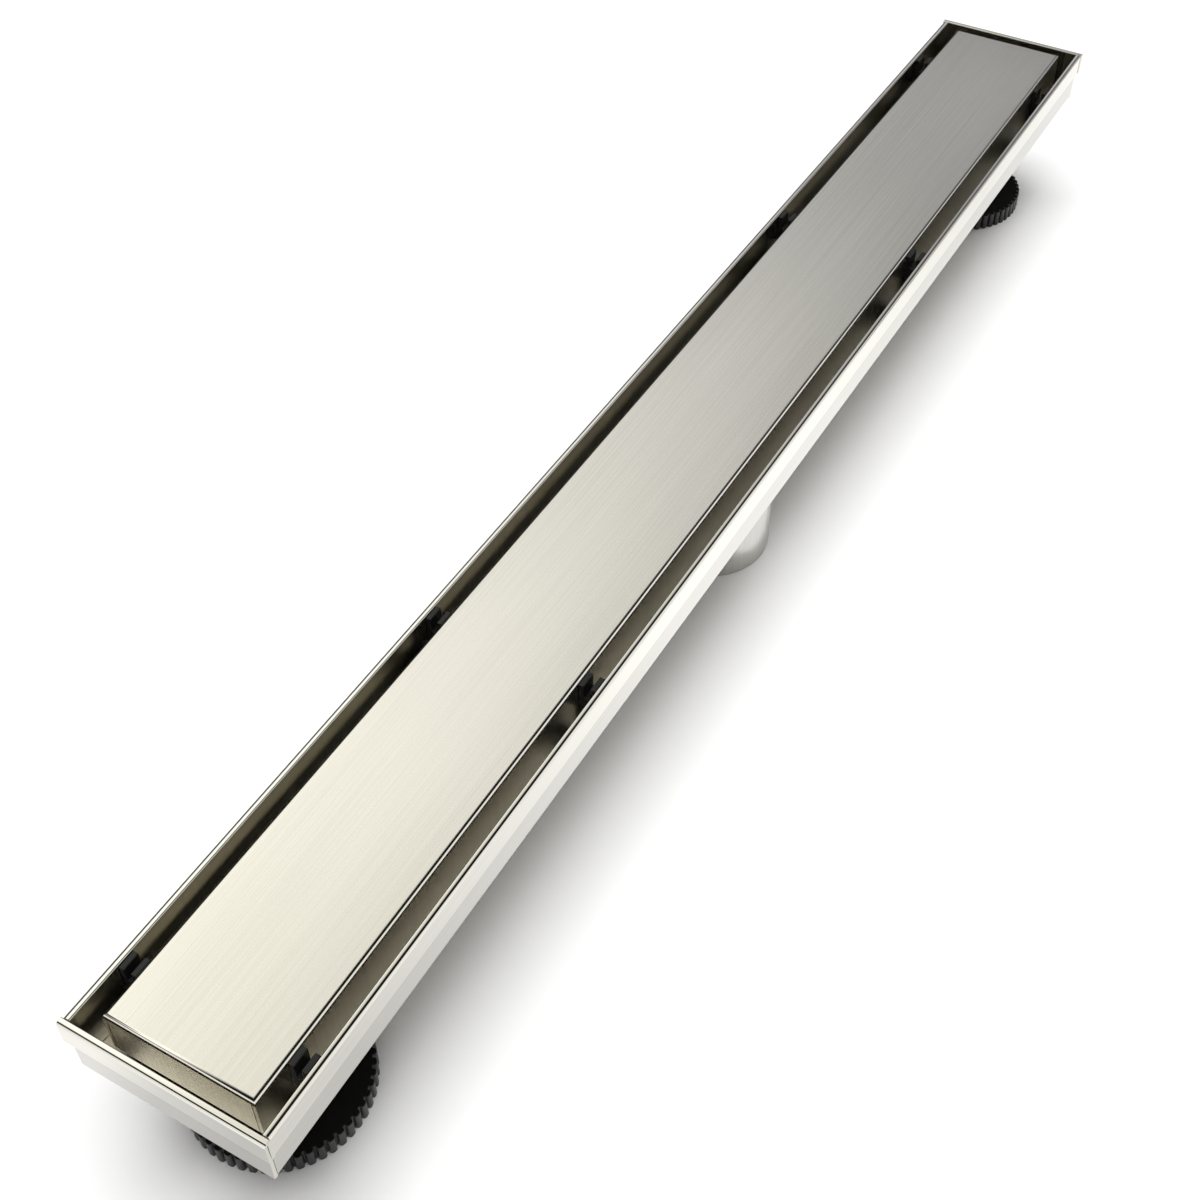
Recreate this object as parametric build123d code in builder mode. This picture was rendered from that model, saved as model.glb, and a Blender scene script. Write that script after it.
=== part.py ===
"""Linear shower drain: hemmed sheet trough, lift-out cover, spacer clips, outlet and levelling feet.

Millimetres, +Z up. X runs across the drain and Y along it. The origin is on the sub-floor,
on the axis of the outlet pipe. The front end is the one at -Y.
"""
from build123d import *
import os

os.makedirs("parts", exist_ok=True)

# Trough
length = 610.0  # over the hems of both end plates
width = 67.2  # over the hems of the long sides
sheet = 1.2  # thickness of every folded sheet
rim_height = 66.0  # from the sub-floor to the top of the hems
trough_depth = 22.0  # from the top of the hems to the underside of the floor
hem_depth = 9.0  # height of the layer folded down outside
bottom_bend = 1.4  # outside radius of the two long bends at the bottom
plate_corner = 0.5  # radius of an end plate's two lower corners
plate_overhang = 0.3  # how far an end plate's hem stands out past a long side

# Cover
side_gap = 6.2  # water slot between the cover and each long side
end_gap = 5.3  # water slot between the cover and each end plate
cover_proud = 0.4  # height of the cover above the hems
skirt_depth = 16.6  # from the cover's top to the lower edge of its skirts
cover_bend = 1.5  # outside radius of the bends round the cover's top
corner_seam = 0.25  # open seam where an end skirt meets a long skirt

# Outlet
outlet_diameter = 47.4
outlet_wall = 1.5
outlet_chamfer = 0.5
weld_leg = 2.0  # of the bead round the top of the pipe

# Spacer clips
clip_front_inset = 16.3  # from the cover's front end to the first clip's middle
clip_back_inset = 32.1  # from the cover's back end to the last clip's middle
clip_pair_spacing = 145.0  # between the two clips of each half
clip_length = 6.0
clip_below_rim = 0.5  # from the top of the hems down to the top of a clip
clip_leg = 1.9  # thickness of the two sprung legs
clip_slot_depth = 5.4
clip_head_depth = 11.0  # from the top of a clip down to the end of its full length
clip_play = 0.1  # clearance at the trough's wall and round the cover's skirt
clip_stem_length = 3.6
clip_stem_outside = 2.6  # how far the stem reaches outside the skirt
clip_lip = 1.6  # thickness of the lip inside the skirt
clip_lip_height = 3.4  # height of that lip above the skirt's lower edge
clip_round = 0.4

# Levelling feet
foot_inset = 39.0  # from the end of the drain to a foot's axis
foot_offset = -2.5  # the feet stand this far off the centre line
foot_diameter = 57.4  # over the ribs
foot_thickness = 7.1
rib_count = 52
rib_width = 2.7
rib_depth = 1.3
rib_crown = 0.45  # how far the middle of a rib stands out past its edges
foot_recess_diameter = 36.0
foot_recess_depth = 1.0
foot_hub_diameter = 18.0
foot_hub_height = 2.5
stud_diameter = 8.0
stud_seat = 3.0  # material left under the stud in the disc
stud_engagement = 8.5  # length of the stud inside the long nut
stud_chamfer = 0.8
thread_clearance = 0.05
nut_across_flats = 13.0
long_nut_length = 15.0
lock_nut_height = 4.0
nut_chamfer = 0.6

# Levels and faces that follow from the sizes above
half_width = width / 2
wall_outer = half_width - sheet
wall_inner = half_width - 2 * sheet
hem_bottom = rim_height - hem_depth
hem_centre = rim_height - sheet
trough_bottom = rim_height - trough_depth
floor_top = trough_bottom + sheet
body_half_length = length / 2 - 2 * sheet
cover_width = 2 * (wall_inner - side_gap)
cover_length = 2 * (body_half_length - end_gap)
cover_top = rim_height + cover_proud
skirt_bottom = cover_top - skirt_depth
outlet_radius = outlet_diameter / 2
clip_first = clip_front_inset - cover_length / 2
clip_last = cover_length / 2 - clip_back_inset
clip_stations = (
    clip_first,
    clip_first + clip_pair_spacing,
    clip_last - clip_pair_spacing,
    clip_last,
)
stud_radius = stud_diameter / 2
foot_y = length / 2 - foot_inset
long_nut_bottom = trough_bottom - long_nut_length
stud_top = long_nut_bottom + stud_engagement


def save(piece, name):
    """Label a finished piece and write its file."""
    piece.label = name
    export_step(piece, f"parts/{name}.step")


# Trough: one folded sheet with a flat floor and hemmed edges
with BuildPart() as trough_body:
    with BuildSketch(Plane.XZ) as section:
        with Locations((0, trough_bottom)):
            Rectangle(2 * wall_outer, trough_depth - sheet, align=(Align.CENTER, Align.MIN))
        fillet(section.vertices().group_by(Axis.Y)[0], bottom_bend)
        with Locations((0, floor_top)):
            RectangleRounded(
                2 * wall_inner,
                trough_depth,
                bottom_bend - sheet,
                align=(Align.CENTER, Align.MIN),
                mode=Mode.SUBTRACT,
            )
        with Locations((-wall_outer, hem_centre), (wall_outer, hem_centre)):
            Circle(sheet)
        with Locations((-wall_outer, hem_centre)):
            Rectangle(sheet, hem_depth - sheet, align=(Align.MAX, Align.MAX))
        with Locations((wall_outer, hem_centre)):
            Rectangle(sheet, hem_depth - sheet, align=(Align.MIN, Align.MAX))
    extrude(amount=body_half_length, both=True)
    with BuildSketch(Plane.XY.offset(trough_bottom - sheet)):
        Circle(outlet_radius - outlet_wall)
    extrude(amount=trough_depth, mode=Mode.SUBTRACT)
save(trough_body.part, "trough_body")


def make_end_plate():
    """The front end plate: a flat plate with its hem folded outwards."""
    with BuildPart() as plate:
        with BuildSketch(Plane.XZ.offset(body_half_length)) as outline:
            with Locations((0, trough_bottom)):
                Rectangle(2 * wall_outer, trough_depth - sheet, align=(Align.CENTER, Align.MIN))
            fillet(outline.vertices().group_by(Axis.Y)[0], plate_corner)
        extrude(amount=sheet)
        hem_y = -body_half_length - sheet
        with BuildSketch(Plane.YZ):
            with Locations((hem_y, hem_centre)):
                Circle(sheet)
                Rectangle(2 * sheet, hem_depth - sheet, align=(Align.CENTER, Align.MAX))
        extrude(amount=half_width + plate_overhang, both=True)
    return plate.part


front_plate = make_end_plate()
save(front_plate, "end_plate_front")
back_plate = mirror(front_plate, about=Plane.XZ)
save(back_plate, "end_plate_back")

# Outlet pipe, welded to the underside of the floor round its hole, with the bead of the weld
with BuildPart() as outlet_pipe:
    with BuildSketch():
        Circle(outlet_radius)
        Circle(outlet_radius - outlet_wall, mode=Mode.SUBTRACT)
    extrude(amount=trough_bottom)
    chamfer(outlet_pipe.faces().sort_by(Axis.Z)[0].edges(), outlet_chamfer)
    with BuildSketch(Plane.XZ):
        Polygon(
            (outlet_radius, trough_bottom - weld_leg),
            (outlet_radius + weld_leg, trough_bottom),
            (outlet_radius, trough_bottom),
            align=None,
        )
    revolve(axis=Axis.Z)
save(outlet_pipe.part, "outlet_pipe")

# Cover: a sheet folded down on four sides, with open seams at the corners
with BuildPart() as cover_panel:
    with BuildSketch(Plane.XY.offset(skirt_bottom)):
        Rectangle(cover_width, cover_length)
    extrude(amount=skirt_depth)
    fillet(cover_panel.faces().sort_by(Axis.Z)[-1].edges(), cover_bend)
    with BuildSketch(Plane.XY.offset(skirt_bottom)):
        Rectangle(cover_width - 2 * sheet, cover_length - 2 * sheet)
    extrude(amount=skirt_depth - sheet, mode=Mode.SUBTRACT)
    seam_x = cover_width / 2 - sheet - corner_seam / 2
    with BuildSketch(Plane.XY.offset(skirt_bottom)):
        with GridLocations(2 * seam_x, cover_length - sheet, 2, 2):
            Rectangle(corner_seam, 2 * sheet)
    extrude(amount=skirt_depth - cover_bend, mode=Mode.SUBTRACT)
save(cover_panel.part, "cover_panel")


def make_clip(station):
    """A right-hand spacer clip: sprung legs in the slot, and a hooked stem under the skirt."""
    skirt_outer = cover_width / 2
    skirt_inner = skirt_outer - sheet
    clip_top = rim_height - clip_below_rim
    head_bottom = clip_top - clip_head_depth
    clip_outer = wall_inner - clip_play
    stem_outer = skirt_outer + clip_stem_outside
    lip_outer = skirt_inner - clip_play
    lip_inner = lip_outer - clip_lip
    with BuildPart() as clip:
        with BuildSketch(Plane.XZ.offset(-station)) as head:
            with BuildLine():
                Polyline(
                    (skirt_outer, head_bottom),
                    (skirt_outer, clip_top),
                    (skirt_outer + clip_leg, clip_top),
                    (skirt_outer + clip_leg, clip_top - clip_slot_depth),
                    (clip_outer - clip_leg, clip_top - clip_slot_depth),
                    (clip_outer - clip_leg, clip_top),
                    (clip_outer, clip_top),
                    (clip_outer, head_bottom),
                    close=True,
                )
            make_face()
            fillet(head.vertices().group_by(Axis.Y)[-1], clip_round)
            fillet(head.vertices().group_by(Axis.Y)[0].sort_by(Axis.X)[-1], clip_round)
        extrude(amount=clip_length / 2, both=True)
        with BuildSketch(Plane.XZ.offset(-station)):
            Polygon(
                (skirt_outer, head_bottom),
                (stem_outer, head_bottom),
                (stem_outer, floor_top),
                (lip_inner, floor_top),
                (lip_inner, skirt_bottom + clip_lip_height),
                (lip_outer, skirt_bottom + clip_lip_height),
                (lip_outer, skirt_bottom),
                (skirt_outer, skirt_bottom),
                align=None,
            )
        extrude(amount=clip_stem_length / 2, both=True)
    return clip.part


for number, station in enumerate(clip_stations, start=1):
    right_clip = make_clip(station)
    save(right_clip, f"spacer_clip_right_{number}")
    left_clip = mirror(right_clip, about=Plane.YZ)
    save(left_clip, f"spacer_clip_left_{number}")


def make_nut(x, y, bottom, height, faces_down):
    """A hexagon nut on a vertical axis, its lower corners chamfered where they show."""
    with BuildPart() as nut:
        with BuildSketch(Plane((x, y, bottom))):
            RegularPolygon(nut_across_flats / 2, 6, major_radius=False)
            Circle(stud_radius + thread_clearance, mode=Mode.SUBTRACT)
        extrude(amount=height)
        if faces_down:
            chamfer(nut.faces().sort_by(Axis.Z)[0].outer_wire().edges(), nut_chamfer)
    return nut.part


def make_stud(x, y):
    """A levelling foot's screw, from its seat in the disc up into the long nut."""
    with BuildPart() as stud:
        with BuildSketch(Plane((x, y, stud_seat))):
            Circle(stud_radius)
        extrude(amount=stud_top - stud_seat)
        chamfer(stud.faces().sort_by(Axis.Z)[-1].edges(), stud_chamfer)
    return stud.part


def make_foot_disc(x, y):
    """A moulded foot: a disc with a ribbed rim, a hub for the screw and a recessed underside."""
    foot_radius = foot_diameter / 2
    root_radius = foot_radius - rib_depth
    rib_root = root_radius - rib_crown
    rib_edge = foot_radius - rib_crown
    with BuildSketch() as rib:
        with BuildLine():
            Polyline(
                (rib_edge, -rib_width / 2),
                (rib_root, -rib_width / 2),
                (rib_root, rib_width / 2),
                (rib_edge, rib_width / 2),
            )
            ThreePointArc(
                (rib_edge, -rib_width / 2),
                (foot_radius, 0),
                (rib_edge, rib_width / 2),
            )
        make_face()
    with BuildPart() as disc:
        with BuildSketch(Plane((x, y, 0))):
            Circle(root_radius)
            with PolarLocations(0, rib_count):
                add(rib.sketch)
        extrude(amount=foot_thickness)
        with BuildSketch(Plane((x, y, foot_thickness))):
            Circle(foot_hub_diameter / 2)
        extrude(amount=foot_hub_height)
        with BuildSketch(Plane((x, y, 0))):
            Circle(foot_recess_diameter / 2)
        extrude(amount=foot_recess_depth, mode=Mode.SUBTRACT)
        with BuildSketch(Plane((x, y, stud_seat))):
            Circle(stud_radius + thread_clearance)
        extrude(amount=foot_thickness + foot_hub_height - stud_seat, mode=Mode.SUBTRACT)
    return disc.part


for end, y in (("front", -foot_y), ("back", foot_y)):
    save(make_nut(foot_offset, y, long_nut_bottom, long_nut_length, False), f"long_nut_{end}")
    lock_nut_bottom = long_nut_bottom - lock_nut_height
    save(make_nut(foot_offset, y, lock_nut_bottom, lock_nut_height, True), f"lock_nut_{end}")
    save(make_stud(foot_offset, y), f"foot_stud_{end}")
    save(make_foot_disc(foot_offset, y), f"foot_disc_{end}")
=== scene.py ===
"""Looks of the linear shower drain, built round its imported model.

Metres, in the model's frame: X across the drain, Y along it, Z up, the front end at -Y.
"""
import math

import bmesh
import bpy
from mathutils import Matrix, Vector


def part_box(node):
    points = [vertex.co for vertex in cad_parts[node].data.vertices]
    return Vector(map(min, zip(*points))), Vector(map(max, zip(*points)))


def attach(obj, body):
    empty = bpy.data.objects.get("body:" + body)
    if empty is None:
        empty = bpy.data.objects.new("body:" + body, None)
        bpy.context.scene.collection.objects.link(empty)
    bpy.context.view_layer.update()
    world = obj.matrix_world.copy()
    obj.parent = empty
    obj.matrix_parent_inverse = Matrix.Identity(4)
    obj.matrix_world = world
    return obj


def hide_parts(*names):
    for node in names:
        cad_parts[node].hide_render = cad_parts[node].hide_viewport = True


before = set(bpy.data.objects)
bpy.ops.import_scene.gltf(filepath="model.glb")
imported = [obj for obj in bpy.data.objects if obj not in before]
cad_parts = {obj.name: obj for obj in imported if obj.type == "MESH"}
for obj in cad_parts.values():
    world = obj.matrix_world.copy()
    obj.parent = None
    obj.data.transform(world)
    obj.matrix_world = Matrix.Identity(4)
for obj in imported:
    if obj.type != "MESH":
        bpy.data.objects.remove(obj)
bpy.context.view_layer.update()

MM = 0.001

# Sheet metal
SHEET = 1.2 * MM
HEM_DEPTH = 9.0 * MM
HEM_SLIT = 0.2 * MM  # left between the two layers of a hem
CROWN_OUTER = 1.4 * MM  # radius of a hem's crown on its outer side
CROWN_INNER = 0.5 * MM
CROWN_DEPTH = 2.0 * MM  # from the rim down to where the duller finish of the inner faces starts
CUT_EDGE = 0.2 * MM  # radius on the edges of cut sheet
TROUGH_EDGE = 0.12 * MM
BOTTOM_BEND = 1.4 * MM
PLATE_CORNER = 0.5 * MM
PLATE_SEAM = 0.15 * MM  # between an end plate and the trough

# Cover
COVER_BEND = 1.5 * MM
COVER_EDGE = 0.08 * MM
CORNER_SEAM = 0.25 * MM

# Outlet
OUTLET_WALL = 1.5 * MM
OUTLET_ROUND_OUTER = 0.5 * MM
OUTLET_ROUND_INNER = 0.3 * MM
WELD_LEG = 2.0 * MM
WELD_RIPPLES = 96
WELD_LEAST = 0.74  # smallest leg of the bead, as a share of the full one
WELD_RIPPLE = 0.16  # how much of the full leg the ripples add
WELD_HOLLOW = 0.22  # how far the face of the bead is drawn in
WELD_OVERLAP = 0.1 * MM  # how far welded pieces reach into each other

# Clips
CLIP_LEG = 1.9 * MM
CLIP_SLOT = 5.4 * MM
CLIP_HEAD = 11.0 * MM
CLIP_STEM_LENGTH = 3.6 * MM
CLIP_STEM_OUTSIDE = 2.6 * MM
CLIP_LIP_HEIGHT = 3.4 * MM
CLIP_PLAY = 0.1 * MM
CLIP_ROUND = 0.35 * MM
CLIP_EDGE = 0.18 * MM

# Feet
RIB_COUNT = 52
RIB_DEPTH = 1.3 * MM
RIB_WIDTH = 2.7 * MM
RIB_SHARES = (-1.0, -0.97, -0.88, -0.72, -0.5, -0.25, 0.0, 0.25, 0.5, 0.72, 0.88, 0.97, 1.0)
RIB_FLATNESS = 3.2  # the higher, the flatter a rib's crown
RIB_FULLNESS = 2.2  # the higher, the steeper its flanks
FOOT_THICKNESS = 7.1 * MM
FOOT_EDGE = 0.35 * MM
HUB_RADIUS = 9.0 * MM
HUB_ROUND = 0.5 * MM
RECESS_RADIUS = 18.0 * MM
RECESS_DEPTH = 1.0 * MM
STUD_RADIUS = 4.0 * MM
THREAD_PITCH = 1.25 * MM
THREAD_DEPTH = 0.65 * MM
THREAD_FLANK = 1.15  # steepness of the thread's flanks, where 1 has no flat crest
STUD_TIP = 0.8 * MM  # height over which the stud's end narrows
STUD_TIP_SHARE = 0.86  # of the full radius, at the very end
STUD_SEGMENTS = 36
STEPS_PER_TURN = 10
NUT_EDGE = 0.2 * MM

NEAR = 0.05 * MM  # two faces this close count as lying in one plane
SNUG = 0.02 * MM  # the same, where the rounded ends of a face are left out
COARSE = math.radians(15)  # step of the arcs on small roundings

trough_low, trough_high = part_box("trough_body")
plate_low, plate_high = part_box("end_plate_back")
cover_low, cover_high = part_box("cover_panel")
half_width = trough_high.x
wall_outer = half_width - SHEET
wall_inner = half_width - 2 * SHEET
rim = trough_high.z
hem_bottom = rim - HEM_DEPTH
hem_fold = rim - SHEET
trough_bottom = trough_low.z
floor_top = trough_bottom + SHEET
body_end = trough_high.y
pipe_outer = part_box("outlet_pipe")[1].x - WELD_LEG
pipe_inner = pipe_outer - OUTLET_WALL


# Mesh helpers

def rounded(corners, step=math.radians(7.5)):
    """A closed outline from (u, v, radius) corners, with an arc at each corner that has a radius."""
    outline = []
    for index, (u, v, radius) in enumerate(corners):
        corner = Vector((u, v))
        if radius == 0:
            outline.append(corner)
            continue
        before = (Vector(corners[index - 1][:2]) - corner).normalized()
        after = (Vector(corners[(index + 1) % len(corners)][:2]) - corner).normalized()
        half = before.angle(after) / 2
        centre = corner + (before + after).normalized() * radius / math.sin(half)
        first = corner + before * radius / math.tan(half) - centre
        last = corner + after * radius / math.tan(half) - centre
        start = math.atan2(first.y, first.x)
        sweep = (math.atan2(last.y, last.x) - start + math.pi) % math.tau - math.pi
        steps = max(2, round(abs(sweep) / step))
        for count in range(steps + 1):
            turn = start + sweep * count / steps
            outline.append(centre + radius * Vector((math.cos(turn), math.sin(turn))))
    return outline


def finish_mesh(name, bm, sharp=35):
    """Turns a bmesh into a named object, smooth but for its edges over the sharp angle."""
    bmesh.ops.remove_doubles(bm, verts=bm.verts, dist=1e-7)
    bmesh.ops.recalc_face_normals(bm, faces=bm.faces)
    mesh = bpy.data.meshes.new(name)
    bm.to_mesh(mesh)
    bm.free()
    mesh.shade_smooth()
    mesh.set_sharp_from_angle(angle=math.radians(sharp))
    piece = bpy.data.objects.new(name, mesh)
    bpy.context.scene.collection.objects.link(piece)
    return piece


def along_x(u, v, w):
    """Place for an outline in the YZ plane."""
    return w, u, v


def along_y(u, v, w):
    """Place for an outline in the XZ plane."""
    return u, w, v


def along_z(u, v, w):
    """Place for an outline in the XY plane."""
    return u, v, w


def prism(name, outline, low, high, place):
    """A solid that has this outline all the way from low to high."""
    bm = bmesh.new()
    rings = [[bm.verts.new(place(u, v, w)) for u, v in outline] for w in (low, high)]
    bm.faces.new(rings[0])
    bm.faces.new(rings[1])
    for index in range(len(outline)):
        bm.faces.new((rings[0][index - 1], rings[0][index], rings[1][index], rings[1][index - 1]))
    return finish_mesh(name, bm)


def lathe(name, profile, centre, segments):
    """A solid turned round a vertical axis from a closed (radius, height) profile."""
    bm = bmesh.new()
    rings = []
    for radius, height in profile:
        if radius < 1e-9:
            pole = bm.verts.new((centre[0], centre[1], height))
            rings.append([pole] * segments)
            continue
        ring = []
        for count in range(segments):
            turn = math.tau * count / segments
            ring.append(bm.verts.new((
                centre[0] + radius * math.cos(turn),
                centre[1] + radius * math.sin(turn),
                height,
            )))
        rings.append(ring)
    for index in range(len(rings)):
        for count in range(segments):
            corners = (
                rings[index - 1][count - 1],
                rings[index - 1][count],
                rings[index][count],
                rings[index][count - 1],
            )
            distinct = list(dict.fromkeys(corners))
            if len(distinct) > 2:
                bm.faces.new(distinct)
    return finish_mesh(name, bm)


def settle(piece, sharp=35):
    """Applies a piece's modifiers to its mesh."""
    graph = bpy.context.evaluated_depsgraph_get()
    mesh = bpy.data.meshes.new_from_object(piece.evaluated_get(graph))
    piece.modifiers.clear()
    piece.data = mesh
    mesh.shade_smooth()
    mesh.set_sharp_from_angle(angle=math.radians(sharp))
    return piece


def combine(piece, tool, operation):
    """Joins a tool to a piece, cuts it away or keeps what both hold. The tool is used up."""
    modifier = piece.modifiers.new("combine", "BOOLEAN")
    modifier.operation = operation
    modifier.solver = "EXACT"
    modifier.object = tool
    settle(piece)
    bpy.data.objects.remove(tool)
    return piece


def soften(piece, width, segments=2, limit=50):
    """Rounds the sharp edges of a piece."""
    modifier = piece.modifiers.new("soften", "BEVEL")
    modifier.width = width
    modifier.segments = segments
    modifier.limit_method = "ANGLE"
    modifier.angle_limit = math.radians(limit)
    modifier.use_clamp_overlap = True
    modifier.harden_normals = False
    return settle(piece)


def mirrored(piece, name, axis):
    """A copy of a piece on the other side of the frame's middle plane."""
    copy = piece.copy()
    copy.name = name
    copy.data = piece.data.copy()
    copy.data.transform(Matrix.Scale(-1, 4, axis))
    copy.data.flip_normals()
    bpy.context.scene.collection.objects.link(copy)
    return copy


# Material helpers

def new_material(name):
    """A node material with only a Principled shader in it."""
    material = bpy.data.materials.new(name)
    material.use_nodes = True
    tree = material.node_tree
    tree.nodes.clear()
    output = tree.nodes.new("ShaderNodeOutputMaterial")
    shader = tree.nodes.new("ShaderNodeBsdfPrincipled")
    tree.links.new(shader.outputs["BSDF"], output.inputs["Surface"])
    return material, tree, shader


def pattern(tree, scale, detail=3.0, roughness=0.55):
    """A noise pattern on the piece's own coordinates, with its own scale along each axis."""
    place = tree.nodes.new("ShaderNodeTexCoord")
    mapping = tree.nodes.new("ShaderNodeMapping")
    mapping.inputs["Scale"].default_value = scale
    texture = tree.nodes.new("ShaderNodeTexNoise")
    texture.inputs["Scale"].default_value = 1.0
    texture.inputs["Detail"].default_value = detail
    texture.inputs["Roughness"].default_value = roughness
    tree.links.new(place.outputs["Object"], mapping.inputs["Vector"])
    tree.links.new(mapping.outputs["Vector"], texture.inputs["Vector"])
    return texture.outputs["Fac"]


def spread(tree, value, low, high, near=0.25, far=0.75):
    """Stretches the middle range of a pattern to run from low to high."""
    node = tree.nodes.new("ShaderNodeMapRange")
    node.inputs["From Min"].default_value = near
    node.inputs["From Max"].default_value = far
    node.inputs["To Min"].default_value = low
    node.inputs["To Max"].default_value = high
    tree.links.new(value, node.inputs["Value"])
    return node.outputs["Result"]


def feed(tree, value, socket):
    """Sets an input to a number, or links another node's output to it."""
    if isinstance(value, (int, float)):
        socket.default_value = value
    else:
        tree.links.new(value, socket)


def maths(tree, operation, first, second):
    """Combines two values, each one a socket or a number."""
    node = tree.nodes.new("ShaderNodeMath")
    node.operation = operation
    feed(tree, first, node.inputs[0])
    feed(tree, second, node.inputs[1])
    return node.outputs["Value"]


def blend_colour(tree, factor, first, second):
    """A colour between two others."""
    node = tree.nodes.new("ShaderNodeMix")
    node.data_type = "RGBA"
    node.inputs["A"].default_value = (*first, 1)
    node.inputs["B"].default_value = (*second, 1)
    tree.links.new(factor, node.inputs["Factor"])
    return node.outputs["Result"]


def bump(tree, shader, height, depth, strength=1.0):
    """Fine relief under a surface's gloss."""
    node = tree.nodes.new("ShaderNodeBump")
    node.inputs["Strength"].default_value = strength
    node.inputs["Distance"].default_value = depth
    tree.links.new(height, node.inputs["Height"])
    tree.links.new(node.outputs["Normal"], shader.inputs["Normal"])


def streaks(tree, grain, across, along, detail=2.0, roughness=0.55):
    """A noise pattern drawn out along one axis."""
    scale = [along if letter == grain else across for letter in "XYZ"]
    return pattern(tree, scale, detail, roughness)


def brushed(name, colour, contrast, grain, smooth, rough, spread_out=0.6, relief=0.0):
    """Brushed metal: streaks that run along one axis, in colour, roughness and relief."""
    material, tree, shader = new_material(name)
    hair = streaks(tree, grain, 1900.0, 12.0, 3.0, 0.6)
    band = streaks(tree, grain, 600.0, 3.0)
    patch = streaks(tree, grain, 30.0, 5.0)
    mixed = maths(tree, "ADD", maths(tree, "MULTIPLY", hair, 0.88), maths(tree, "MULTIPLY", band, 0.12))
    tone = spread(tree, mixed, 0.0, 1.0, 0.34, 0.66)
    dark = [channel * (1 - contrast) for channel in colour]
    light = [min(1.0, channel * (1 + contrast)) for channel in colour]
    tree.links.new(blend_colour(tree, tone, dark, light), shader.inputs["Base Color"])
    wear = maths(tree, "ADD", maths(tree, "MULTIPLY", hair, 0.5), maths(tree, "MULTIPLY", patch, 0.5))
    tree.links.new(spread(tree, wear, smooth, rough, 0.35, 0.65), shader.inputs["Roughness"])
    shader.inputs["Metallic"].default_value = 1.0
    shader.inputs["Anisotropic"].default_value = spread_out
    across = tree.nodes.new("ShaderNodeCombineXYZ")
    for socket, letter in zip(across.inputs, "XYZ"):
        socket.default_value = 0.0 if letter == grain else 1.0
    tree.links.new(across.outputs["Vector"], shader.inputs["Tangent"])
    if relief:
        bump(tree, shader, hair, relief)
    return material


def moulded(name, dark, light, smooth, rough, relief, shine=0.5):
    """Moulded black plastic with a fine spark-eroded texture, between two shades."""
    material, tree, shader = new_material(name)
    speck = pattern(tree, [1 / PLASTIC_GRAIN] * 3, detail=3.0, roughness=0.6)
    patch = pattern(tree, [60.0] * 3, detail=2.0)
    tone = maths(tree, "ADD", maths(tree, "MULTIPLY", speck, 0.5), maths(tree, "MULTIPLY", patch, 0.5))
    mixed = spread(tree, tone, 0.0, 1.0, 0.35, 0.65)
    tree.links.new(blend_colour(tree, mixed, dark, light), shader.inputs["Base Color"])
    tree.links.new(spread(tree, tone, smooth, rough, 0.35, 0.65), shader.inputs["Roughness"])
    shader.inputs["Specular IOR Level"].default_value = shine
    bump(tree, shader, speck, relief, 0.6)
    return material


NICKEL = (0.78, 0.755, 0.69)
# A darker tone of the nickel, used under the hems and on the cover's underside.
DARKER_NICKEL = (0.63, 0.61, 0.565)
STEEL = (0.54, 0.53, 0.50)
ZINC = (0.60, 0.60, 0.59)
PLASTIC_GRAIN = 0.3 * MM

# Each finish: colour, contrast of its streaks, grain, least and most roughness, then for some how far
# the gloss spreads across the grain and the depth of the relief
trough_nickel = brushed("trough_nickel", NICKEL, 0.03, "Y", 0.05, 0.09)
plate_nickel = brushed("plate_nickel", NICKEL, 0.03, "X", 0.05, 0.09)
wall_nickel = brushed("wall_nickel", DARKER_NICKEL, 0.03, "Y", 0.10, 0.18)
plate_wall_nickel = brushed("plate_wall_nickel", DARKER_NICKEL, 0.03, "X", 0.10, 0.18)
floor_nickel = brushed("floor_nickel", NICKEL, 0.05, "Y", 0.16, 0.22, 0.85)
inner_nickel = brushed("inner_nickel", NICKEL, 0.05, "Z", 0.15, 0.21, 0.6)
cover_nickel = brushed("cover_nickel", NICKEL, 0.065, "Y", 0.21, 0.27)
cover_edge_nickel = brushed("cover_edge_nickel", NICKEL, 0.03, "Y", 0.06, 0.10)
side_skirt_nickel = brushed("side_skirt_nickel", NICKEL, 0.05, "Z", 0.27, 0.34, 0.4)
end_skirt_nickel = brushed("end_skirt_nickel", NICKEL, 0.10, "Z", 0.18, 0.25, 0.5)
underside_nickel = brushed("underside_nickel", DARKER_NICKEL, 0.05, "Y", 0.40, 0.50)
pipe_steel = brushed("pipe_steel", STEEL, 0.05, "Z", 0.22, 0.34)
weld_steel = brushed("weld_steel", STEEL, 0.12, "Z", 0.25, 0.45)
fastener_steel = brushed("fastener_steel", ZINC, 0.06, "X", 0.22, 0.36, 0.6, 0.001 * MM)
clip_plastic = moulded("clip_plastic", [0.008] * 3, [0.016] * 3, 0.35, 0.5, 0.01 * MM, 0.3)
foot_plastic = moulded("foot_plastic", [0.010] * 3, [0.020] * 3, 0.30, 0.42, 0.006 * MM)
# A matt copy of the foot's plastic for its top faces, with a darker colour as painted shade: less light
# falls on the tops under the trough.
foot_matt_painted_shade = moulded("foot_matt_painted_shade", [0.005] * 3, (0.009, 0.009, 0.008), 0.55, 0.7, 0.01 * MM, 0.05)


def dress(piece, material, body, slot, *nodes):
    """Gives a finished piece its material and its body, and hides the nodes that it stands for. Its slot is
    not used.

    The modifier keeps large flat faces flat between the rounded edges.
    """
    piece.data.materials.clear()
    piece.data.materials.append(material)
    flat = piece.modifiers.new("flat_faces", "WEIGHTED_NORMAL")
    flat.keep_sharp = True
    flat.weight = 80
    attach(piece, body)
    if nodes:
        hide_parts(*nodes)
    return piece


# Trough

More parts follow.
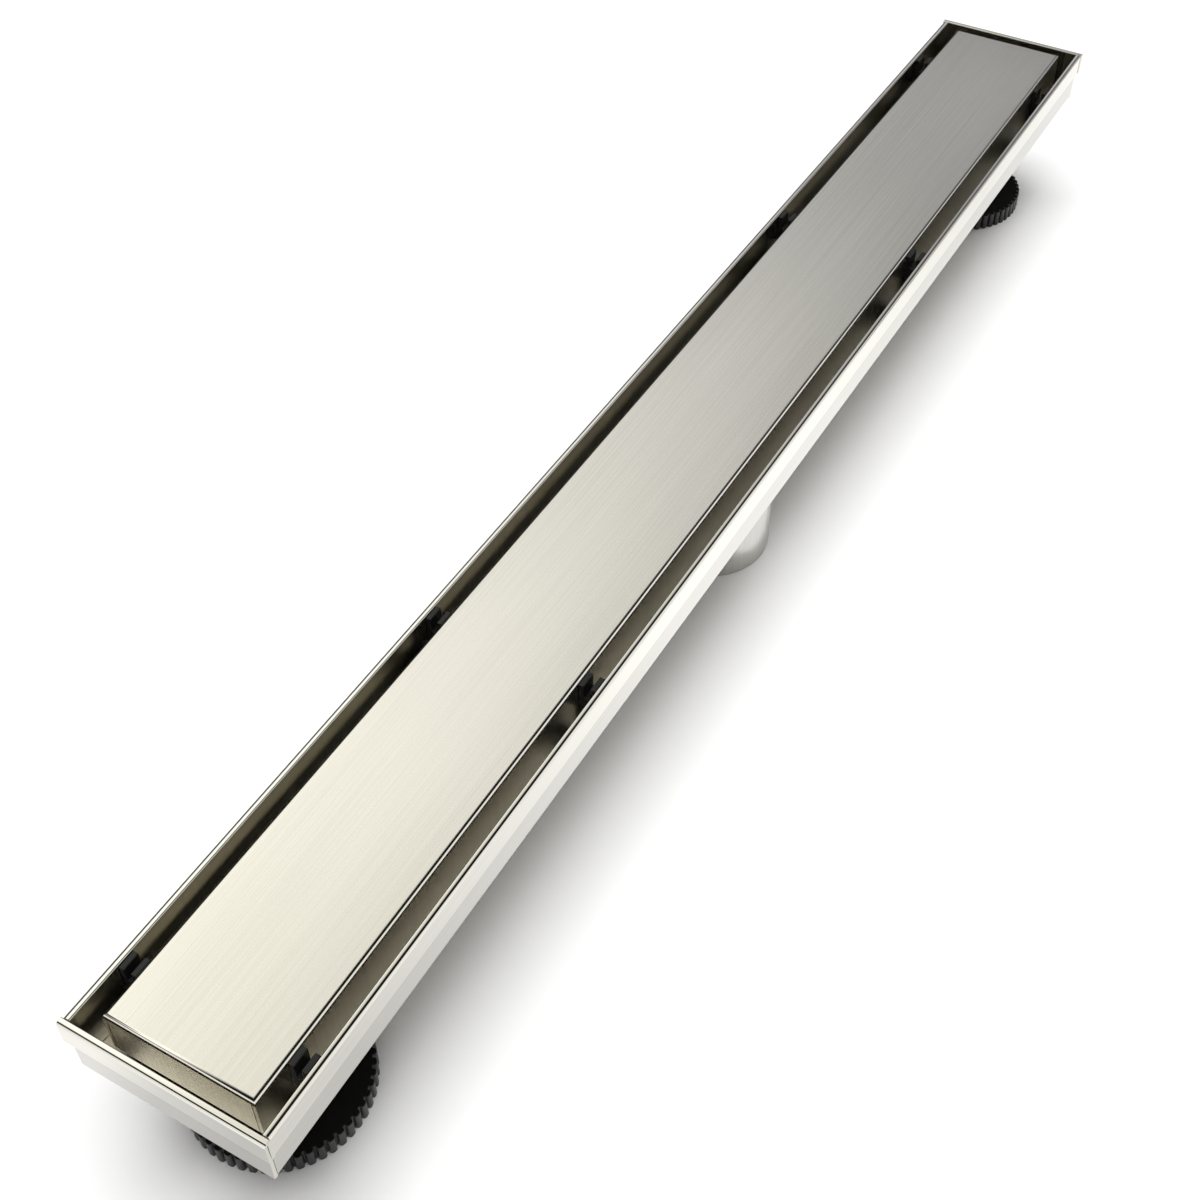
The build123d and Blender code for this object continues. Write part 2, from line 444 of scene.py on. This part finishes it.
def trough_outline():
    """The folded section: floor, bends, walls and the hems folded down outside."""
    right = [
        (wall_outer, trough_bottom, BOTTOM_BEND),
        (wall_outer, hem_fold, 0),
        (wall_outer + HEM_SLIT, hem_fold, 0),
        (wall_outer + HEM_SLIT, hem_bottom, CUT_EDGE),
        (half_width, hem_bottom, CUT_EDGE),
        (half_width, rim, CROWN_OUTER),
        (wall_inner, rim, CROWN_INNER),
        (wall_inner, floor_top, BOTTOM_BEND - SHEET),
    ]
    return right + [(-x, z, radius) for x, z, radius in reversed(right)]


def make_trough():
    end = body_end - PLATE_SEAM
    trough = prism("trough", rounded(trough_outline()), -end, end, along_y)
    bore = [(0, 0), (pipe_inner, 0), (pipe_inner, rim), (0, rim)]
    combine(trough, lathe("bore", bore, (0, 0), segments=96), "DIFFERENCE")
    return soften(trough, TROUGH_EDGE)


def make_end_plate():
    """The back end plate, with its hem folded over outwards."""
    face = body_end + SHEET
    hem_face = plate_high.y
    hem = rounded([
        (body_end, hem_bottom, 0),
        (face, hem_bottom, 0),
        (face, hem_fold, 0),
        (face + HEM_SLIT, hem_fold, 0),
        (face + HEM_SLIT, hem_bottom, CUT_EDGE),
        (hem_face, hem_bottom, CUT_EDGE),
        (hem_face, rim, CROWN_OUTER),
        (body_end, rim, CROWN_INNER),
    ])
    plate = prism("end_plate", hem, plate_low.x, plate_high.x, along_x)
    lower = rounded([
        (wall_outer, trough_bottom, PLATE_CORNER),
        (wall_outer, hem_bottom + SHEET, 0),
        (-wall_outer, hem_bottom + SHEET, 0),
        (-wall_outer, trough_bottom, PLATE_CORNER),
    ])
    combine(plate, prism("lower", lower, body_end, face, along_y), "UNION")
    return soften(plate, CUT_EDGE)


def shade_faces(piece, material, wanted):
    """Gives the faces that pass the test another material."""
    piece.data.materials.append(material)
    for face in piece.data.polygons:
        if wanted(face):
            face.material_index = len(piece.data.materials) - 1


def below_hem(face):
    """True for the outer faces under a hem, which get a darker and rougher nickel."""
    reach = max(abs(face.center.x) - wall_outer, abs(face.center.y) - body_end - SHEET)
    upright = abs(face.normal.z) < 0.3 and max(abs(face.normal.x), abs(face.normal.y)) > 0.99
    return upright and abs(reach) < NEAR and face.center.z < hem_bottom + SHEET


def inside(face):
    """True for the faces round the hollow under the hems."""
    return face.center.z < rim - CROWN_DEPTH and abs(face.center.x) < wall_inner + SNUG


trough = make_trough()
dress(trough, trough_nickel, "drain", "trough_nickel", "trough_body")
shade_faces(trough, floor_nickel, lambda face: inside(face) and face.center.z > floor_top - SHEET / 2)
shade_faces(trough, inner_nickel, lambda face: inside(face) and abs(face.normal.x) > 0.9)
shade_faces(trough, wall_nickel, below_hem)
back_plate = make_end_plate()
back_plate.name = "end_plate_back_shell"
front_plate = mirrored(back_plate, "end_plate_front_shell", Vector((0, 1, 0)))
for end, plate in (("back", back_plate), ("front", front_plate)):
    dress(plate, plate_nickel, "drain", "trough_nickel", f"end_plate_{end}")
    shade_faces(plate, plate_wall_nickel, lambda face: below_hem(face) and abs(face.normal.y) > 0.9)
    shade_faces(plate, inner_nickel, lambda face: abs(abs(face.center.y) - body_end) < NEAR)


# Cover

def cup(bm, half_x, half_y, bottom, top, bend):
    """Four sides and a top with round edges between them, open below. Returns the lower corners."""
    corners = [(-half_x, -half_y), (half_x, -half_y), (half_x, half_y), (-half_x, half_y)]
    low = [bm.verts.new((x, y, bottom)) for x, y in corners]
    high = [bm.verts.new((x, y, top)) for x, y in corners]
    bm.faces.new(high)
    for index in range(4):
        bm.faces.new((low[index - 1], low[index], high[index], high[index - 1]))
    edges = [bm.edges.get((high[index - 1], high[index])) for index in range(4)]
    bmesh.ops.bevel(
        bm, geom=edges, offset=bend, offset_type="OFFSET", segments=8, profile=0.5, affect="EDGES"
    )
    return low


def make_cover():
    bm = bmesh.new()
    outer = cup(bm, cover_high.x, cover_high.y, cover_low.z, cover_high.z, COVER_BEND)
    inner = cup(
        bm, cover_high.x - SHEET, cover_high.y - SHEET, cover_low.z, cover_high.z - SHEET, COVER_BEND - SHEET
    )
    for index in range(4):
        bm.faces.new((outer[index - 1], outer[index], inner[index], inner[index - 1]))
    cover = finish_mesh("cover", bm)
    seam_x = cover_high.x - SHEET - CORNER_SEAM / 2
    seam_top = cover_high.z - COVER_BEND
    for side_x in (-1, 1):
        for side_y in (-1, 1):
            middle_x = side_x * seam_x
            middle_y = side_y * (cover_high.y - SHEET / 2)
            outline = [
                (middle_x - CORNER_SEAM / 2, middle_y - SHEET),
                (middle_x + CORNER_SEAM / 2, middle_y - SHEET),
                (middle_x + CORNER_SEAM / 2, middle_y + SHEET),
                (middle_x - CORNER_SEAM / 2, middle_y + SHEET),
            ]
            slit = prism("slit", outline, cover_low.z - SHEET, seam_top, along_z)
            combine(cover, slit, "DIFFERENCE")
    return soften(cover, COVER_EDGE)


cover = make_cover()
dress(cover, cover_nickel, "drain", "cover_nickel", "cover_panel")
shade_faces(cover, cover_edge_nickel, lambda face: face.normal.z < 0.995)
shade_faces(cover, side_skirt_nickel, lambda face: abs(face.normal.x) > 0.9)
shade_faces(cover, end_skirt_nickel, lambda face: abs(face.normal.y) > 0.9)
shade_faces(cover, underside_nickel, lambda face: face.normal.z < -0.5)


# Clips

def make_clip(node, name):
    """A right-hand spacer clip in the place of its node: sprung legs and a hooked stem."""
    low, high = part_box(node)
    skirt = cover_high.x
    head_bottom = high.z - CLIP_HEAD
    slot_bottom = high.z - CLIP_SLOT
    head = rounded([
        (skirt, head_bottom, 0),
        (skirt, high.z, CLIP_ROUND),
        (skirt + CLIP_LEG, high.z, CLIP_ROUND),
        (skirt + CLIP_LEG, slot_bottom, CLIP_ROUND),
        (high.x - CLIP_LEG, slot_bottom, CLIP_ROUND),
        (high.x - CLIP_LEG, high.z, CLIP_ROUND),
        (high.x, high.z, CLIP_ROUND),
        (high.x, head_bottom, CLIP_ROUND),
    ], COARSE)
    clip = prism(name, head, low.y, high.y, along_y)
    stem_outer = skirt + CLIP_STEM_OUTSIDE
    lip_outer = skirt - SHEET - CLIP_PLAY
    stem = [
        (skirt, head_bottom + CLIP_ROUND),
        (stem_outer, head_bottom + CLIP_ROUND),
        (stem_outer, floor_top),
        (low.x, floor_top),
        (low.x, cover_low.z + CLIP_LIP_HEIGHT),
        (lip_outer, cover_low.z + CLIP_LIP_HEIGHT),
        (lip_outer, cover_low.z),
        (skirt, cover_low.z),
    ]
    middle = (low.y + high.y) / 2
    half_stem = CLIP_STEM_LENGTH / 2
    combine(clip, prism("stem", stem, middle - half_stem, middle + half_stem, along_y), "UNION")
    return soften(clip, CLIP_EDGE)


for number in range(1, 5):
    clip = make_clip(f"spacer_clip_right_{number}", f"clip_right_{number}")
    twin = mirrored(clip, f"clip_left_{number}", Vector((1, 0, 0)))
    dress(clip, clip_plastic, "drain", "clip_plastic", f"spacer_clip_right_{number}")
    dress(twin, clip_plastic, "drain", "clip_plastic", f"spacer_clip_left_{number}")


# Outlet

def make_pipe():
    """The outlet pipe, up to the trough's floor."""
    section = rounded([
        (pipe_inner, 0, OUTLET_ROUND_INNER),
        (pipe_outer, 0, OUTLET_ROUND_OUTER),
        (pipe_outer, trough_bottom + WELD_OVERLAP, 0),
        (pipe_inner, trough_bottom + WELD_OVERLAP, 0),
    ], COARSE)
    return lathe("outlet", section, (0, 0), segments=128)


def make_weld():
    """The rippled bead that joins the pipe to the trough's floor."""
    buried = pipe_outer - WELD_OVERLAP
    around = WELD_RIPPLES * 6
    across = 10
    bm = bmesh.new()
    rings = []
    for count in range(around):
        turn = math.tau * count / around
        ripple = abs(math.sin(WELD_RIPPLES * turn / 2))
        leg = WELD_LEG * (WELD_LEAST + WELD_RIPPLE * ripple)
        ring = []
        for step in range(across + 1):
            share = step / across * math.pi / 2
            reach = buried + leg * math.sin(share)
            drop = leg * math.cos(share) * (1 - WELD_HOLLOW * math.sin(2 * share))
            ring.append(bm.verts.new((
                reach * math.cos(turn), reach * math.sin(turn), trough_bottom - drop
            )))
        ring.append(bm.verts.new((
            buried * math.cos(turn), buried * math.sin(turn), trough_bottom
        )))
        rings.append(ring)
    for count in range(around):
        for step in range(len(rings[0])):
            bm.faces.new((
                rings[count - 1][step - 1],
                rings[count - 1][step],
                rings[count][step],
                rings[count][step - 1],
            ))
    return finish_mesh("outlet_weld", bm, sharp=60)


dress(make_pipe(), pipe_steel, "drain", "pipe_steel", "outlet_pipe")
dress(make_weld(), weld_steel, "drain", "pipe_steel")


# Feet

def make_stud(end):
    """A threaded stud in the place of its node."""
    low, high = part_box(f"foot_stud_{end}")
    middle = (low + high) / 2
    levels = round((high.z - low.z) / THREAD_PITCH * STEPS_PER_TURN)
    bm = bmesh.new()
    rings = []
    for level in range(levels + 1):
        height = low.z + (high.z - low.z) * level / levels
        ring = []
        for count in range(STUD_SEGMENTS):
            turn = math.tau * count / STUD_SEGMENTS
            phase = (height / THREAD_PITCH - count / STUD_SEGMENTS) % 1
            groove = THREAD_DEPTH * (1 - min(1, abs(2 * phase - 1) * THREAD_FLANK))
            taper = min(1, (high.z - height) / STUD_TIP)
            radius = (STUD_RADIUS - groove) * (STUD_TIP_SHARE + (1 - STUD_TIP_SHARE) * taper)
            ring.append(bm.verts.new((
                middle.x + radius * math.cos(turn), middle.y + radius * math.sin(turn), height
            )))
        rings.append(ring)
    for level in range(levels):
        for count in range(STUD_SEGMENTS):
            bm.faces.new((
                rings[level][count - 1],
                rings[level][count],
                rings[level + 1][count],
                rings[level + 1][count - 1],
            ))
    bm.faces.new(rings[0])
    bm.faces.new(rings[-1])
    return finish_mesh(f"stud_{end}", bm, sharp=50)


def rib_outline(radius, x, y):
    """The ribbed rim: round ribs side by side, with narrow grooves between them."""
    root = radius - RIB_DEPTH
    half_rib = RIB_WIDTH / 2 / radius
    half_pitch = math.pi / RIB_COUNT
    outline = []
    for rib in range(RIB_COUNT):
        middle = math.tau * rib / RIB_COUNT
        points = [(middle - half_pitch, root)]
        for share in RIB_SHARES:
            height = RIB_DEPTH * (1 - abs(share) ** RIB_FLATNESS) ** (1 / RIB_FULLNESS)
            points.append((middle + half_rib * share, root + height))
        for turn, reach in points:
            outline.append((x + reach * math.cos(turn), y + reach * math.sin(turn)))
    return outline


def make_disc(end):
    """A foot's disc with its ribbed rim, hub and recess."""
    low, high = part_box(f"foot_disc_{end}")
    x = (low.x + high.x) / 2
    y = (low.y + high.y) / 2
    disc = prism(f"disc_{end}", rib_outline((high.x - low.x) / 2, x, y), 0, FOOT_THICKNESS, along_z)
    soften(disc, FOOT_EDGE, segments=3, limit=60)
    hub = rounded([
        (0, FOOT_THICKNESS - MM, 0),
        (HUB_RADIUS, FOOT_THICKNESS - MM, 0),
        (HUB_RADIUS, high.z, HUB_ROUND),
        (0, high.z, 0),
    ], COARSE)
    combine(disc, lathe("hub", hub, (x, y), segments=72), "UNION")
    recess = [(0, -MM), (RECESS_RADIUS, -MM), (RECESS_RADIUS, RECESS_DEPTH), (0, RECESS_DEPTH)]
    combine(disc, lathe("recess", recess, (x, y), segments=96), "DIFFERENCE")
    return disc


for end in ("front", "back"):
    disc = make_disc(end)
    dress(disc, foot_plastic, f"{end}_foot", "foot_plastic", f"foot_disc_{end}")
    # Painted shade: the top faces take the darker matt copy of the plastic.
    shade_faces(disc, foot_matt_painted_shade, lambda face: face.normal.z > 0.95 and face.center.z > RECESS_DEPTH + MM)
    dress(make_stud(end), fastener_steel, f"{end}_foot", "fastener_steel", f"foot_stud_{end}")
    for kind in ("long_nut", "lock_nut"):
        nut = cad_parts[f"{kind}_{end}"]
        nut.data.materials.clear()
        nut.data.materials.append(fastener_steel)
        edge = nut.modifiers.new("soften", "BEVEL")
        edge.width = NUT_EDGE
        edge.segments = 2
        edge.limit_method = "ANGLE"
        edge.angle_limit = math.radians(40)


# Studio

FLOOR_SIZE = 14.0
FLOOR_DROP = 0.05 * MM  # the floor lies this far under the feet
CAMERA_PLACE = (0.19812, -0.42063, 0.45205)
CAMERA_TURNS = (-30.38, 46.573, -0.58)  # yaw, pitch and roll in degrees
ROOM_LOW = Vector((-2.2, -1.6, 0.0004))
ROOM_HIGH = Vector((3.5, 4.0, cover_high.z + 0.8))
OVERHEAD_LEVEL = 1.41
# The overhead card's brightness as (place, share) stops. ACROSS and SHARE run along X, and the others
# along Y: across it near the camera and far away, along its sides, and for the part behind the camera
ACROSS_NEAR = (
    (-2.2, 0.0), (-1.25, 0.02), (-1.0, 1.0), (-0.6, 1.15), (-0.47, 1.1), (-0.35, 0.75), (-0.15, 0.35),
    (0.05, 0.0), (3.5, 0.0),
)
ACROSS_FAR = ((-2.2, 0.0), (-1.25, 0.02), (-1.0, 1.0), (-0.25, 1.0), (0.0, 0.35), (0.08, 0.0), (3.5, 0.0))
RIGHT_SHARE = ((-2.2, 0.0), (0.80, 0.0), (1.10, 1.0), (3.5, 1.0))
RIGHT_SIDE = ((-1.6, 1.0), (1.6, 1.05), (2.6, 0.9), (4.0, 0.5))
TO_FAR = ((-1.6, 0.0), (1.3, 0.0), (1.6, 1.0), (4.0, 1.0))
BRIGHT_SIDE = ((-1.6, 1.0), (0.3, 1.0), (1.4, 0.35), (1.55, 0.35), (1.85, 0.5), (1.9, 0.05), (4.0, 0.05))
LEFT_SHARE = ((-2.2, 1.0), (-0.95, 1.0), (-0.80, 0.0), (3.5, 0.0))
LEFT_SIDE = ((-1.6, 1.0), (0.3, 1.0), (1.4, 0.4), (4.0, 0.4))
DARK_SIDE = (
    (-1.6, 0.01), (0.26, 0.01), (0.85, 0.04), (1.45, 0.09), (2.04, 0.14), (2.6, 0.05), (4.0, 0.03),
)
BEHIND = ((-1.6, 0.02), (-0.76, 0.02), (-0.64, 1.1), (-0.45, 1.15), (4.0, 1.15))
TO_BEHIND = ((-1.6, 1.0), (-0.50, 1.0), (-0.38, 0.0), (4.0, 0.0))
# The floor as the long sides and the front end see it in their polish
SIDE_LOW = Vector((0.030, -0.60))
SIDE_HIGH = Vector((0.160, 1.20))
SIDE_ALONG = ((-0.6, 0.8), (-0.25, 0.8), (-0.05, 1.3), (0.08, 1.27), (0.27, 1.03), (0.4, 1.15), (1.2, 1.1))
SHADED_LOW = Vector((ROOM_LOW.x, -0.302))
SHADED_HIGH = Vector((-0.055, ROOM_HIGH.y))
FRONT_LOW = Vector((-0.150, -0.360))
FRONT_HIGH = Vector((0.030, -0.309))
FRONT_ACROSS = ((-0.15, 1.2), (-0.055, 1.1), (-0.03, 0.8), (0.0, 0.65), (0.03, 0.65))
TO_SIDE = ((0.0, 1.0), (0.09, 1.0), (0.15, 0.0), (0.16, 0.0))
SHADED_ACROSS = ((-2.2, 0.35), (-0.4, 0.35), (-0.12, 0.22), (-0.05, 0.22))
OPEN_FLOOR = 1.05
DARK = 0.02


def quad(name, corners):
    """A flat stage sheet through four corners."""
    mesh = bpy.data.meshes.new(name)
    mesh.from_pydata(corners, [], [(0, 1, 2, 3)])
    sheet = bpy.data.objects.new(name, mesh)
    bpy.context.scene.collection.objects.link(sheet)
    return sheet


def level_sheet(name, low, high, height):
    """A flat stage sheet at one height."""
    return quad(name, [
        (low.x, low.y, height), (high.x, low.y, height), (high.x, high.y, height), (low.x, high.y, height)
    ])


def upright_sheet(name, start, end, bottom, top):
    """A flat stage sheet that stands on the line between two places."""
    return quad(name, [(*start, bottom), (*end, bottom), (*end, top), (*start, top)])


def ramp(tree, value, stops):
    """Brightness that follows a line through the stops."""
    first, last = stops[0][0], stops[-1][0]
    node = tree.nodes.new("ShaderNodeValToRGB")
    elements = node.color_ramp.elements
    elements[0].color = (*[stops[0][1] / 2] * 3, 1)
    elements[1].color = (*[stops[-1][1] / 2] * 3, 1)
    for place, level in stops[1:-1]:
        elements.new((place - first) / (last - first)).color = (*[level / 2] * 3, 1)
    tree.links.new(spread(tree, value, 0.0, 1.0, first, last), node.inputs["Fac"])
    return maths(tree, "MULTIPLY", node.outputs["Color"], 2.0)


def mix_values(tree, share, first, second):
    """A value between two others."""
    node = tree.nodes.new("ShaderNodeMix")
    feed(tree, share, node.inputs["Factor"])
    feed(tree, first, node.inputs["A"])
    feed(tree, second, node.inputs["B"])
    return node.outputs["Result"]


def glow(sheet, brightness):
    """Makes a stage sheet a card that shines in reflections only."""
    material = bpy.data.materials.new(sheet.name)
    material.use_nodes = True
    material.cycles.emission_sampling = "NONE"
    tree = material.node_tree
    tree.nodes.clear()
    output = tree.nodes.new("ShaderNodeOutputMaterial")
    shader = tree.nodes.new("ShaderNodeEmission")
    place = tree.nodes.new("ShaderNodeTexCoord")
    split = tree.nodes.new("ShaderNodeSeparateXYZ")
    tree.links.new(place.outputs["Object"], split.inputs["Vector"])
    strength, colour = brightness(tree, split.outputs["X"], split.outputs["Y"])
    feed(tree, strength, shader.inputs["Strength"])
    if colour:
        tree.links.new(colour, shader.inputs["Color"])
    tree.links.new(shader.outputs["Emission"], output.inputs["Surface"])
    sheet.data.materials.append(material)
    sheet.visible_camera = False
    sheet.visible_diffuse = False
    sheet.visible_transmission = False
    sheet.visible_volume_scatter = False
    sheet.visible_shadow = False


def overhead(tree, x, y):
    """Brightness of the overhead card: a pale side, a dark side and a fall-off to the back."""
    across = mix_values(tree, ramp(tree, y, TO_FAR), ramp(tree, x, ACROSS_NEAR), ramp(tree, x, ACROSS_FAR))
    middle, left = ramp(tree, y, BRIGHT_SIDE), ramp(tree, y, LEFT_SIDE)
    bright = mix_values(tree, ramp(tree, x, LEFT_SHARE), middle, left)
    bright = maths(tree, "MULTIPLY", bright, OVERHEAD_LEVEL)
    ahead = mix_values(tree, across, ramp(tree, y, DARK_SIDE), bright)
    ahead = mix_values(tree, ramp(tree, x, RIGHT_SHARE), ahead, ramp(tree, y, RIGHT_SIDE))
    strength = mix_values(tree, ramp(tree, y, TO_BEHIND), ahead, ramp(tree, y, BEHIND))
    colour = blend_colour(tree, spread(tree, y, 0.0, 1.0, 0.0, 1.6), (1.0, 1.0, 0.93), (0.99, 1.0, 1.04))
    return strength, colour


def side_floor(tree, x, y):
    """Brightness of the floor as the long side sees it."""
    return mix_values(tree, ramp(tree, x, TO_SIDE), OPEN_FLOOR, ramp(tree, y, SIDE_ALONG)), None


def front_floor(tree, x, y):
    """Brightness of the floor as the front end plate sees it."""
    return ramp(tree, x, FRONT_ACROSS), None


def dim_floor(tree, x, y):
    """Brightness of the floor as the shaded long side sees it."""
    return ramp(tree, x, SHADED_ACROSS), None


def dark_wall(tree, x, y):
    """Brightness of the two upright flags."""
    return DARK, None


def make_cards():
    low, high = ROOM_LOW, ROOM_HIGH
    glow(level_sheet("overhead_card", low, high, high.z), overhead)
    glow(level_sheet("side_floor_card", SIDE_LOW, SIDE_HIGH, low.z), side_floor)
    glow(level_sheet("front_floor_card", FRONT_LOW, FRONT_HIGH, low.z), front_floor)
    glow(level_sheet("left_floor_flag", SHADED_LOW, SHADED_HIGH, low.z), dim_floor)
    near_left, far_left, far_right = (low.x, low.y), (low.x, high.y), (high.x, high.y)
    glow(upright_sheet("far_flag", far_left, far_right, low.z, high.z), dark_wall)
    glow(upright_sheet("left_flag", near_left, far_left, low.z, high.z), dark_wall)


def make_floor():
    half = FLOOR_SIZE / 2
    floor = level_sheet("floor", Vector((-half, -half)), Vector((half, half)), -FLOOR_DROP)
    material, tree, shader = new_material("floor")
    tone = pattern(tree, [3.0] * 3, detail=2.0)
    tree.links.new(blend_colour(tree, tone, [0.945] * 3, [0.955] * 3), shader.inputs["Base Color"])
    shader.inputs["Roughness"].default_value = 0.55
    shader.inputs["Specular IOR Level"].default_value = 0.1
    floor.data.materials.append(material)


def make_world(fill):
    """White to the eye and in reflections, and a weaker pale dome for the light itself."""
    world = bpy.data.worlds.new("studio")
    bpy.context.scene.world = world
    world.use_nodes = True
    tree = world.node_tree
    tree.nodes.clear()
    output = tree.nodes.new("ShaderNodeOutputWorld")
    mix = tree.nodes.new("ShaderNodeMixShader")
    dome = tree.nodes.new("ShaderNodeBackground")
    dome.inputs["Strength"].default_value = fill
    dome.inputs["Color"].default_value = (1, 1, 1, 1)
    white = tree.nodes.new("ShaderNodeBackground")
    white.inputs["Strength"].default_value = 1.0
    white.inputs["Color"].default_value = (1, 1, 1, 1)
    path = tree.nodes.new("ShaderNodeLightPath")
    seen = maths(tree, "MAXIMUM", path.outputs["Is Camera Ray"], path.outputs["Is Glossy Ray"])
    seen = maths(tree, "MAXIMUM", seen, path.outputs["Is Transmission Ray"])
    tree.links.new(seen, mix.inputs["Fac"])
    tree.links.new(dome.outputs["Background"], mix.inputs[1])
    tree.links.new(white.outputs["Background"], mix.inputs[2])
    tree.links.new(mix.outputs["Shader"], output.inputs["Surface"])


def make_key(level, width_deg):
    """A wide soft light from straight above, which gives a white surface this brightness."""
    lamp = bpy.data.lights.new("key", "SUN")
    lamp.energy = math.pi * level
    lamp.angle = math.radians(width_deg)
    key = bpy.data.objects.new("key", lamp)
    key.location = (0, 0, 2)
    key.visible_glossy = False
    bpy.context.scene.collection.objects.link(key)


def make_camera():
    """The photograph's viewpoint: a 50 mm lens close to the drain's front right corner."""
    camera = bpy.data.objects.new("camera", bpy.data.cameras.new("camera"))
    bpy.context.scene.collection.objects.link(camera)
    camera.data.lens = 50
    camera.data.sensor_width = 36
    yaw, pitch, roll = (math.radians(angle) for angle in CAMERA_TURNS)
    level = Matrix(((1, 0, 0), (0, 0, -1), (0, 1, 0))) @ Matrix.Rotation(yaw, 3, "Z")
    right, down, forward = Matrix.Rotation(roll, 3, "Z") @ Matrix.Rotation(pitch, 3, "X") @ level
    axes = Matrix((right, -down, -forward)).transposed()
    camera.matrix_world = Matrix.Translation(CAMERA_PLACE) @ axes.to_4x4()
    camera.data.clip_start = 0.01
    camera.data.clip_end = 50
    bpy.context.scene.camera = camera


make_cards()
make_floor()
make_world(fill=0.12)
make_key(level=1.06, width_deg=52)
make_camera()
bpy.context.scene.view_settings.view_transform = "Standard"
bpy.context.scene.cycles.glossy_bounces = 7
